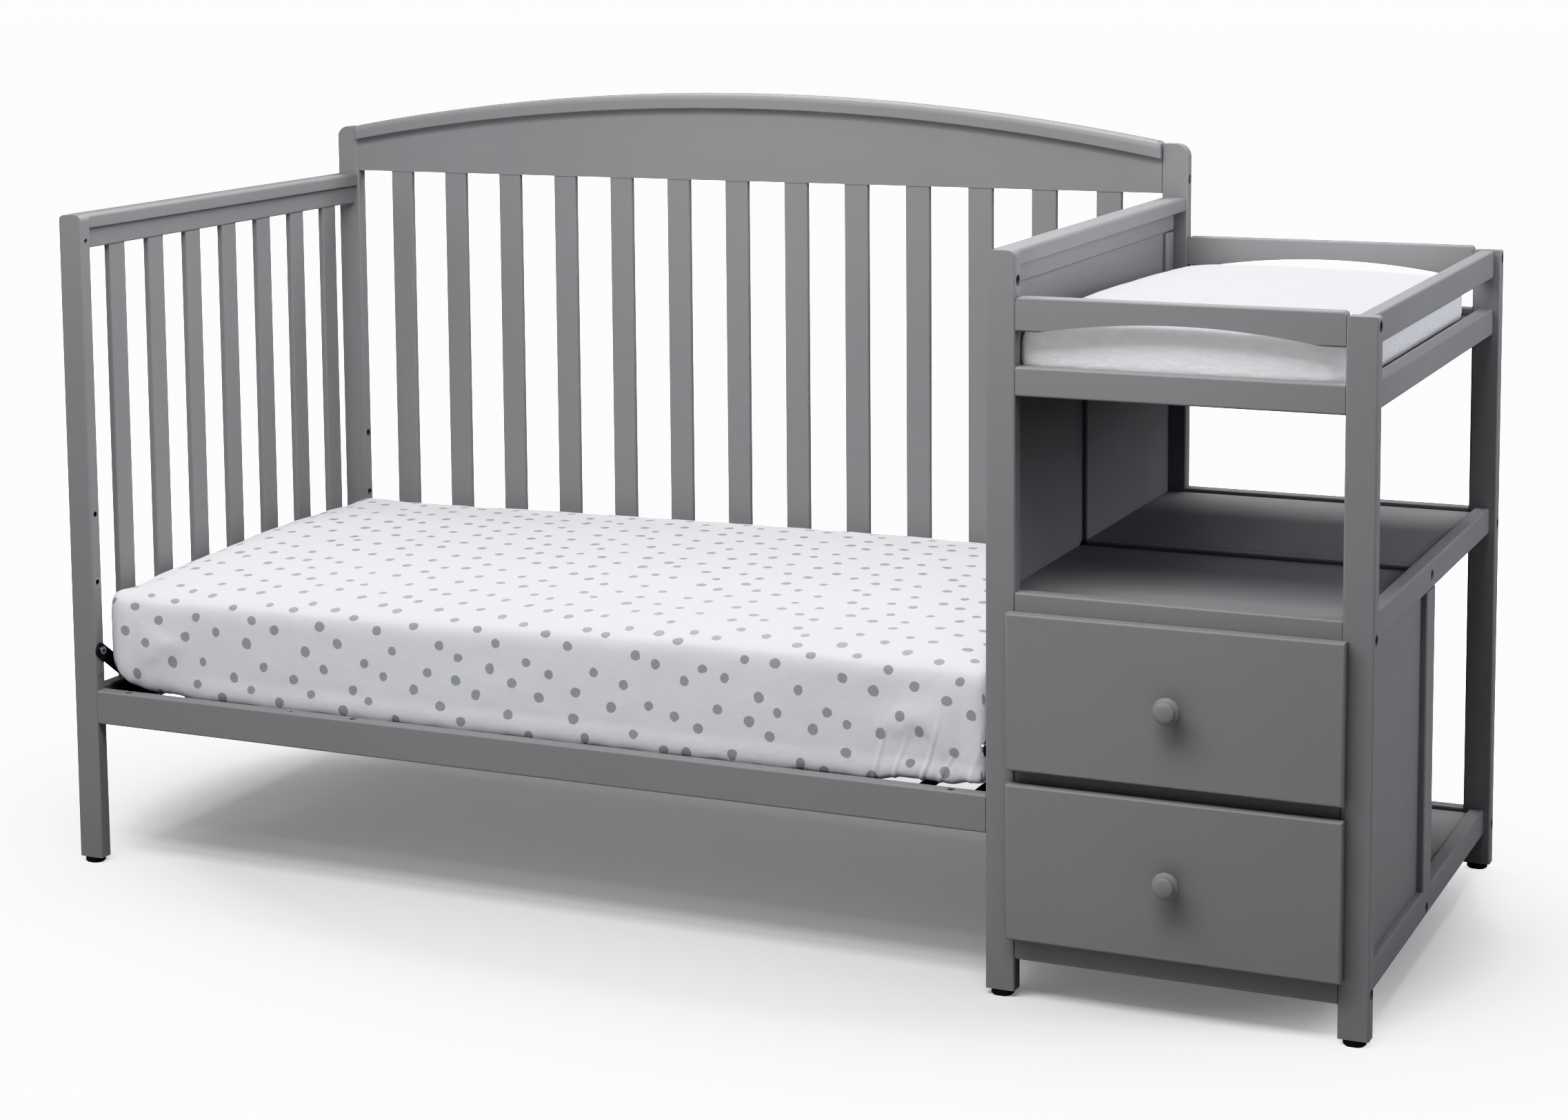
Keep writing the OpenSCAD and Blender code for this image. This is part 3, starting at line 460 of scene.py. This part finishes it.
def wood_plug():
    """End grain of a small bare plug."""
    mat, tree, shader = new_material("wood_plug")
    rings = noise(tree, place_of(tree), 900.0, 4.0)
    tint(tree, shader, remap(tree, rings, 0, 1), END_GRAIN)
    set_sockets(shader, {"Roughness": 0.7})
    bump(tree, shader, rings, 0.3, 0.0003)
    return mat


SLOT_MATERIALS = {
    "grey_paint": grey_paint,
    "raw_wood": raw_wood,
    "hardboard": hardboard,
    "zinc_steel": zinc_steel,
    "black_steel": black_steel,
    "black_plastic": black_plastic,
    "dotted_sheet": dotted_sheet,
    "velour": velour,
}


# Edges that turn by less than this many degrees are shaded smooth
SMOOTH_BELOW = 34
# Points of a CAD mesh closer than this, in metres, are one point
WELD = 2e-6


def smoothing_group():
    """Node group that shades smoothly across every edge that turns only a little."""
    group = bpy.data.node_groups.new("smooth_flat_edges", "GeometryNodeTree")
    group.interface.new_socket("Geometry", in_out="INPUT", socket_type="NodeSocketGeometry")
    group.interface.new_socket("Geometry", in_out="OUTPUT", socket_type="NodeSocketGeometry")
    nodes, links = group.nodes, group.links
    enter, leave = nodes.new("NodeGroupInput"), nodes.new("NodeGroupOutput")
    plain = nodes.new("GeometryNodeRemoveAttribute")
    plain.inputs["Name"].default_value = "custom_normal"
    merged = nodes.new("GeometryNodeMergeByDistance")
    merged.inputs["Distance"].default_value = WELD
    faces = nodes.new("GeometryNodeSetShadeSmooth")
    edges = nodes.new("GeometryNodeSetShadeSmooth")
    edges.domain = "EDGE"
    angle = nodes.new("GeometryNodeInputMeshEdgeAngle")
    flat = nodes.new("FunctionNodeCompare")
    flat.data_type = "FLOAT"
    flat.operation = "LESS_THAN"
    flat.inputs[1].default_value = math.radians(SMOOTH_BELOW)
    links.new(angle.outputs["Unsigned Angle"], flat.inputs[0])
    links.new(flat.outputs["Result"], edges.inputs["Shade Smooth"])
    chain = [enter, plain, merged, faces, edges, leave]
    for first, second in zip(chain, chain[1:]):
        links.new(first.outputs[0], second.inputs[0])
    return group


def dress_nodes():
    """Gives each CAD node its material and smooth shading; returns the materials by slot."""
    made = {slot: build() for slot, build in SLOT_MATERIALS.items()}
    group = smoothing_group()
    for name, obj in NODES.items():
        obj.data.materials.clear()
        obj.data.materials.append(made[SLOT_OF[name]])
        obj.modifiers.new("smooth", "NODES").node_group = group
        even = obj.modifiers.new("even_normals", "WEIGHTED_NORMAL")
        even.keep_sharp = True
        even.weight = 100
    return made


# ---------------------------------------------------------------- meshes

# How long a cloth form is inflated, in frames
SWELL_FRAMES = 20
# Waves in one smooth noise, and how much longer or shorter than its size they may be
NOISE_WAVES = 7
NOISE_STRETCH = (0.6, 1.5)
# Points of a CAD cushion closer than this, in metres, are one point
CUSHION_WELD = 2e-5


def points_of(mesh):
    """Places of a mesh's vertices, one row each."""
    co = np.empty(len(mesh.vertices) * 3)
    mesh.vertices.foreach_get("co", co)
    return co.reshape(-1, 3)


def normals_of(mesh):
    """Normals of a mesh's vertices, one row each."""
    n = np.empty(len(mesh.vertices) * 3)
    mesh.vertex_normals.foreach_get("vector", n)
    return n.reshape(-1, 3)


def set_points(mesh, points):
    """Moves a mesh's vertices to new places."""
    mesh.vertices.foreach_set("co", np.ascontiguousarray(points, float).ravel())
    mesh.update()


def apply_modifiers(obj):
    """Makes the modified mesh the object's own."""
    graph = bpy.context.evaluated_depsgraph_get()
    mesh = bpy.data.meshes.new_from_object(obj.evaluated_get(graph))
    obj.modifiers.clear()
    old = obj.data
    obj.data = mesh
    bpy.data.meshes.remove(old)


def remesh(obj, voxel):
    """Even squares over the whole surface, each a voxel wide."""
    mod = obj.modifiers.new("remesh", "REMESH")
    mod.mode = "VOXEL"
    mod.voxel_size = voxel
    apply_modifiers(obj)


def swell(obj, pressure, travel):
    """Inflates a closed cloth form for a few frames and caps how far each point moves."""
    start = points_of(obj.data)
    mod = obj.modifiers.new("cloth", "CLOTH")
    mod.settings.use_pressure = True
    mod.settings.uniform_pressure_force = pressure
    mod.settings.effector_weights.gravity = 0
    mod.settings.quality = 5
    mod.point_cache.frame_start = 1
    mod.point_cache.frame_end = SWELL_FRAMES
    for step in range(1, SWELL_FRAMES + 1):
        SCENE.frame_set(step)
    graph = bpy.context.evaluated_depsgraph_get()
    done = points_of(obj.evaluated_get(graph).to_mesh())
    obj.modifiers.clear()
    SCENE.frame_set(1)
    move = done - start
    length = np.linalg.norm(move, axis=1, keepdims=True)
    set_points(obj.data, start + move * np.minimum(1, travel / np.maximum(length, 1e-9)))


def relax(obj, times):
    """Evens out the steps that a remesh leaves."""
    mod = obj.modifiers.new("relax", "SMOOTH")
    mod.factor = 0.5
    mod.iterations = times
    apply_modifiers(obj)


def push_out(obj, distance):
    """Moves each point along its normal, by one distance or by one each."""
    step = normals_of(obj.data) * np.reshape(distance, (-1, 1))
    set_points(obj.data, points_of(obj.data) + step)


def soft_copy(node, name, voxel, inset, evening):
    """A free, evenly meshed copy of a CAD cushion, drawn in by the inset."""
    obj = bpy.data.objects.new(name, NODES[node].data.copy())
    SCENE.collection.objects.link(obj)
    if "custom_normal" in obj.data.attributes:
        obj.data.attributes.remove(obj.data.attributes["custom_normal"])
    work = bmesh.new()
    work.from_mesh(obj.data)
    bmesh.ops.remove_doubles(work, verts=work.verts, dist=CUSHION_WELD)
    work.to_mesh(obj.data)
    work.free()
    remesh(obj, voxel)
    relax(obj, evening)
    push_out(obj, -inset)
    return obj


def subdivide(obj):
    """Splits each face in four on a smooth surface."""
    mod = obj.modifiers.new("subdivision", "SUBSURF")
    mod.levels = mod.render_levels = 1
    apply_modifiers(obj)


def smooth_noise(points, size, seed, height):
    """Low, rounded waves of about the given length and height; the same on each run."""
    rng = np.random.default_rng(seed)
    total = np.zeros(len(points))
    for _ in range(NOISE_WAVES):
        way = rng.normal(size=3)
        way *= 2 * math.pi / size / np.linalg.norm(way) * rng.uniform(*NOISE_STRETCH)
        total += np.sin(points @ way + rng.uniform(0, 2 * math.pi))
    return total / NOISE_WAVES * height


def finish_soft(obj, material):
    """Smooth shading, a material and its slot on a soft piece that rides the frame."""
    obj.data.polygons.foreach_set("use_smooth", [True] * len(obj.data.polygons))
    obj.data.materials.clear()
    obj.data.materials.append(material)
    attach(obj, "frame")


def ramp(values, start, end):
    """0 up to the start, 1 from the end, and straight between them."""
    return np.clip((values - start) / (end - start), 0, 1)


# ---------------------------------------------------------------- mattress and sheet

# Where the CAD's bench coordinates start: x at the left post's outer face, z at the
# wooden posts' underside
BENCH_X = -0.922
BENCH_Z = 0.008

# Inflating and shaping the mattress: voxel, inset, pressure and travel
MATTRESS_VOXEL = 0.008
MATTRESS_INSET = 0.002
MATTRESS_PRESSURE = 3.0
MATTRESS_TRAVEL = 0.006
# Low waves over the mattress, and over the sheet: length, seed and height
MATTRESS_WAVES = (0.22, 3, 0.0012)
SHEET_WAVES = (0.07, 5, 0.0006)
# Height of its left end over its foot
LEFT_END_HEIGHT = 0.141
# From and to where along the crib its front foot turns square, in bench millimetres
SQUARE_X = (130, 210)
# How far its front edge rises to the right: along the crib in bench millimetres, between
# heights over the foot, and between depths behind the front
FRONT_RISE = 0.0065
RISE_X = (600, 950)
RISE_HEIGHT = np.array((0.06, 0.12))
RISE_DEPTH = np.array((0.20, 0.05))
# How far it may bulge past its solid at either end
END_BULGE = 0.0015

# The sheet: how far it stands off the mattress, its thickness, and how far its hem is
# tucked under
SHEET_PROUD = 0.0012
SHEET_T = 0.0007
HEM_TUCK = 0.075
# Deepest trough between folds, against how far the sheet stands off
TROUGH_LIMIT = 0.6
# Faces within this height of the mattress's foot belong to its underside
UNDERSIDE = 0.02
# Where the sheet's normal points up by more than this, the sheet counts as its top
FLAT_NORMAL = 0.55
# Radius of the turn from the sheet's top to its sides
SHOULDER = 0.026
# Points of the top this near to the turn give its height, evened over so many of them
EDGE_BAND = 0.006
EDGE_EVENING = 17
# How strongly the nearer side wins where two sides meet at a corner
CORNER_POWER = 5
# How the dots' rows are turned on the sheet
ROW_TURN = ((0.89, 0.454), (-0.454, 0.89))

# How far the front hem hangs below the mattress: millimetres along the crib, and down
HEM_X = (40, 130, 300, 1150, 1215, 1245, 1300)
HEM_HANG = (3.0, 7.5, 9.5, 8.5, 7.0, 1.5, 1.0)
# Its hang sets in between these depths behind the front, and heights over the foot
HEM_DEPTH = np.array((0.045, 0.020))
HEM_HEIGHT = np.array((0.032, 0.008))
HEM_CURVE = 1.5
# Its waves in millimetres, each with its height, length and phase, and the hang from which
# they are in full
HEM_WAVES = ((0.9, 23.0, 0.0), (0.7, 9.5, 1.0))
HEM_FULL = 8

# Folds where the sheet is drawn under the front edge: (x, z) along each in bench
# millimetres, then height and width
FRONT_FOLDS = [
    ([(1268, 240), (1281, 268), (1288, 291), (1293, 309), (1297, 323), (1300, 350)], 1.9, 2.3),
    ([(1292, 240), (1304, 262), (1312, 274), (1316, 283), (1320, 302)], 1.5, 2.1),
    ([(1232, 240), (1242, 269), (1250, 287), (1256, 308)], 1.5, 2.2),
    ([(1205, 240), (1212, 263), (1218, 281), (1223, 299), (1226, 316), (1228, 348)], 1.2, 2.5),
    ([(1336, 246), (1350, 290), (1355, 328), (1357, 366)], 1.0, 2.8),
    ([(1160, 240), (1168, 262), (1173, 292)], 0.7, 3.0),
    ([(1122, 240), (1127, 258), (1129, 280)], 0.6, 3.2),
    ([(1060, 240), (1064, 262), (1066, 282)], 0.5, 3.6),
    ([(820, 240), (824, 256), (826, 272)], 0.5, 3.6),
    ([(540, 240), (537, 256), (533, 274)], 0.5, 3.6),
    ([(130, 250), (140, 264), (158, 284)], 0.7, 3.0),
    ([(210, 240), (200, 256), (184, 274)], 0.6, 3.4),
]
# Across a fold: a ridge and the shallow troughs beside it, each with its height against the
# ridge, its place and its width, both against the fold's width
FOLD_PROFILE = ((1, 0, 1), (-0.3, 2.1, 1.5), (-0.2, -2.3, 1.7))

# Folds fade out between these depths behind the front
FOLD_DEPTH = np.array((0.03, 0.01))

# Right of this x, below this z (bench metres) and within this depth of the front, the
# sheet's mesh is finer
FINE_X = 1.18
FINE_Z = 0.37
FINE_DEPTH = 0.035


def drape_coordinates(points, flats, low, high):
    """Where each point of the sheet lay before it was pulled over the mattress, in metres.

    The flats are the points of the top: their height just inside each edge is where the sheet
    starts to turn down.
    """
    centre, half = np.array((low + high) / 2)[:2], np.array((high - low) / 2)[:2]
    local, top = points[:, :2] - centre, flats[:, :2] - centre
    inner = half - SHOULDER
    over = np.maximum(np.abs(local) - inner, 0)
    height = np.zeros(len(points))
    weight = np.full(len(points), 1e-30)
    for axis in (0, 1):
        other = 1 - axis
        for side in (-1, 1):
            near = np.abs(top[:, axis] - side * inner[axis]) < EDGE_BAND
            order = np.argsort(top[near, other])
            padded = np.pad(flats[near, 2][order], EDGE_EVENING // 2, mode="edge")
            edge_z = np.convolve(padded, np.ones(EDGE_EVENING) / EDGE_EVENING, mode="valid")
            start = np.interp(local[:, other], top[near, other][order], edge_z)
            share = over[:, axis] ** CORNER_POWER * (np.sign(local[:, axis]) == side)
            height += share * start
            weight += share
    drop = np.maximum(height / weight - points[:, 2], 0) * (over > 0).any(axis=1)
    way = over ** CORNER_POWER * np.sign(local)
    length = np.linalg.norm(way, axis=1)
    return local + way * (drop / np.maximum(length, 1e-30))[:, None]


def hem_drop(points, low):
    """How far the sheet's front edge hangs below the mattress's foot, in metres."""
    x = (points[:, 0] - BENCH_X) / MM
    near = ramp(points[:, 1], *(low[1] + HEM_DEPTH))
    below = ramp(points[:, 2], *(low[2] + HEM_HEIGHT)) ** HEM_CURVE
    reach = np.interp(x, HEM_X, HEM_HANG)
    wave = sum(high * np.sin(x / length + phase) for high, length, phase in HEM_WAVES)
    return near * below * (reach + wave * ramp(reach, 0, HEM_FULL)) * MM


def fold_height(points, low):
    """Height of the drawn folds on the sheet's front side, in metres."""
    x = (points[:, 0] - BENCH_X) / MM
    z = (points[:, 2] - BENCH_Z) / MM
    front = ramp(points[:, 1], *(low[1] + FOLD_DEPTH))
    total = np.zeros(len(points))
    for line, high, wide in FRONT_FOLDS:
        line_x, line_z = np.array(line, float).T
        across = (x - np.interp(z, line_z, line_x)) / wide
        fade = high * ramp(z, line_z[-1], line_z[0])
        for share, place, width in FOLD_PROFILE:
            total += share * fade * np.exp(-((across - place) / width) ** 2)
    return total * front * MM


def refine_front(sheet, low):
    """Halves the sheet's faces where the sharpest folds lie."""
    work = bmesh.new()
    work.from_mesh(sheet.data)
    near = [edge for edge in work.edges
            if all(v.co.x > BENCH_X + FINE_X and v.co.z < BENCH_Z + FINE_Z
                   and v.co.y < low.y + FINE_DEPTH for v in edge.verts)]
    bmesh.ops.subdivide_edges(work, edges=near, cuts=1, use_grid_fill=True)
    work.to_mesh(sheet.data)
    work.free()


def square_up(points, low, high, sides, size, power, weight=1.0):
    """Squares up the rounded edge between two sides, each given as its axis and direction.

    The edge's section, a circle's quarter of the given size, becomes a superellipse's.
    """
    part = np.column_stack([(points[:, axis] - (high if way > 0 else low)[axis]) * way / size + 1
                            for axis, way in sides])
    near = (part > 0).all(axis=1)
    part = np.where(near[:, None], part, 0.5)
    grown = (part ** 2).sum(axis=1) ** 0.5 / (part ** power).sum(axis=1) ** (1 / power)
    full = np.minimum(part * grown[:, None], np.maximum(part, 1))
    for column, (axis, way) in enumerate(sides):
        points[:, axis] += (full - part)[:, column] * near * size * way * weight


def shape_mattress(points, low, high):
    """The photographed form: crisp right end and foot, front edge rising to the right."""
    x = (points[:, 0] - BENCH_X) / MM
    left_high = (high[0], high[1], low[2] + LEFT_END_HEIGHT)
    left, right, front, foot, top = (0, -1), (0, 1), (1, -1), (2, -1), (2, 1)
    square_up(points, low, high, (left, front), size=0.045, power=5)
    square_up(points, low, left_high, (left, top), size=0.030, power=4)
    square_up(points, low, high, (right, front), size=0.045, power=6)
    square_up(points, low, high, (right, foot), size=0.035, power=6)
    square_up(points, low, high, (front, foot), size=0.030, power=4, weight=ramp(x, *SQUARE_X))
    upper = ramp(points[:, 2], *(low[2] + RISE_HEIGHT))
    near = ramp(points[:, 1], *(low[1] + RISE_DEPTH))
    points[:, 2] += FRONT_RISE * upper * near * ramp(x, *RISE_X)
    points[:, 0] = np.clip(points[:, 0], low[0] - END_BULGE, high[0] + END_BULGE)


def cut_hem(sheet, low, high):
    """Opens the sheet underneath, leaving a gathered strip inside the edge."""
    centre = (low + high) / 2
    half = (high - low) / 2
    work = bmesh.new()
    work.from_mesh(sheet.data)
    gone = []
    for face in work.faces:
        c = face.calc_center_median()
        inside = all(abs(c[axis] - centre[axis]) < half[axis] - HEM_TUCK for axis in (0, 1))
        if c.z < low.z + UNDERSIDE and inside:
            gone.append(face)
    bmesh.ops.delete(work, geom=gone, context="FACES")
    work.to_mesh(sheet.data)
    work.free()


def lay_dots(sheet, low, high, flat):
    """Stores where each point of the sheet lies on the flat cloth, for the sheet's material."""
    points = points_of(sheet.data)
    laid = drape_coordinates(points, points[flat], low, high)
    turned = np.column_stack([laid @ np.array(ROW_TURN), np.zeros(len(laid))])
    place = sheet.data.attributes.new("cloth_place", "FLOAT_VECTOR", "POINT")
    place.data.foreach_set("vector", turned.astype(np.float32).ravel())


def make_core():
    """The mattress under its sheet, in place of the plain solid."""
    low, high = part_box("mattress")
    core = soft_copy("mattress", "mattress_core", MATTRESS_VOXEL, MATTRESS_INSET, 6)
    swell(core, MATTRESS_PRESSURE, MATTRESS_TRAVEL)
    subdivide(core)
    points = points_of(core.data)
    shape_mattress(points, low, high)
    points += normals_of(core.data) * smooth_noise(points, *MATTRESS_WAVES)[:, None]
    points[:, 2] = np.maximum(points[:, 2], low[2] + SHEET_T)
    set_points(core.data, points)
    finish_soft(core, mattress_ticking())
    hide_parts("mattress")
    return core


def make_sheet(core, made):
    """The fitted sheet over the mattress, with its drawn folds and its gathered hem."""
    low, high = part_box("mattress")
    sheet = bpy.data.objects.new("fitted_sheet", core.data.copy())
    SCENE.collection.objects.link(sheet)
    refine_front(sheet, low)
    folds = fold_height(points_of(sheet.data), low)
    push_out(sheet, SHEET_PROUD + np.maximum(folds, -SHEET_PROUD * TROUGH_LIMIT))
    cut_hem(sheet, low, high)
    flat = normals_of(sheet.data)[:, 2] > FLAT_NORMAL
    push_out(sheet, smooth_noise(points_of(sheet.data), *SHEET_WAVES))
    points = points_of(sheet.data)
    points[:, 2] -= hem_drop(points, low)
    set_points(sheet.data, points)
    lay_dots(sheet, low, high, flat)
    thick = sheet.modifiers.new("thickness", "SOLIDIFY")
    thick.thickness = SHEET_T
    thick.offset = 1
    finish_soft(sheet, made["dotted_sheet"])
    return sheet


# ---------------------------------------------------------------- changing pad

# Inflating the pad: voxel, inset, pressure and travel
PAD_VOXEL = 0.006
PAD_INSET = 0.001
PAD_PRESSURE = 4.0
PAD_TRAVEL = 0.004
# Low waves over the pad: length, seed and height
PAD_WAVES = (0.15, 8, 0.0005)
# Up to this height its foot is drawn in, more so towards the board
PAD_FOOT = 0.022
PAD_FOOT_POWER = 1.8
# How far it may bulge past its solid: left and front, then right and back
PAD_BULGE = ((0.002, 0.002), (0.003, 0.002))
# Least height of its underside over the board
PAD_CLEAR = 0.0003


def make_pad(made):
    """The loose pad in its velour cover, in place of the plain solid."""
    low, high = (np.array(corner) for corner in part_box("changing_pad"))
    pad = soft_copy("changing_pad", "changing_pad_cover", PAD_VOXEL, PAD_INSET, 3)
    swell(pad, PAD_PRESSURE, PAD_TRAVEL)
    subdivide(pad)
    push_out(pad, smooth_noise(points_of(pad.data), *PAD_WAVES))
    points = points_of(pad.data)
    lift = np.clip((points[:, 2] - low[2]) / PAD_FOOT, 0, None)
    points[:, 2] = np.where(lift < 1, low[2] + PAD_FOOT * lift ** PAD_FOOT_POWER, points[:, 2])
    points[:, :2] = np.clip(points[:, :2], low[:2] - PAD_BULGE[0], high[:2] + PAD_BULGE[1])
    points[:, 2] = np.maximum(points[:, 2], low[2] + PAD_CLEAR)
    set_points(pad.data, points)
    finish_soft(pad, made["velour"])
    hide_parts("changing_pad")
    return pad


# ---------------------------------------------------------------- small pieces

PLUG_HEIGHT = 272.5 * MM
PLUG_RADIUS = 4.6 * MM
PLUG_PROUD = 0.8 * MM
PLUG_TAPER = 0.92


def make_plug():
    """Bare wood plug in the left front post's inner face."""
    low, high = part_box("left_front_post")
    work = bmesh.new()
    bmesh.ops.create_cone(work, cap_ends=True, segments=32, radius1=PLUG_RADIUS,
                          radius2=PLUG_RADIUS * PLUG_TAPER, depth=PLUG_PROUD)
    mesh = bpy.data.meshes.new("post_plug")
    work.to_mesh(mesh)
    work.free()
    mesh.transform(Matrix.Translation((high.x, (low.y + high.y) / 2, PLUG_HEIGHT)) @
                   Matrix.Rotation(math.radians(90), 4, "Y"))
    plug = bpy.data.objects.new("post_plug", mesh)
    SCENE.collection.objects.link(plug)
    mesh.materials.append(wood_plug())
    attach(plug, "frame")


# ---------------------------------------------------------------- build

SCENE.view_settings.view_transform = "Khronos PBR Neutral"
make_camera()
make_world()
for lamp_name, lamp_values in LIGHTS.items():
    make_lamp(lamp_name, *lamp_values)
make_floor()
MADE = dress_nodes()
fitted_sheet = make_sheet(make_core(), MADE)
pad = make_pad(MADE)
light_only(make_lamp("pad_fill", *PAD_FILL), [pad])
make_plug()
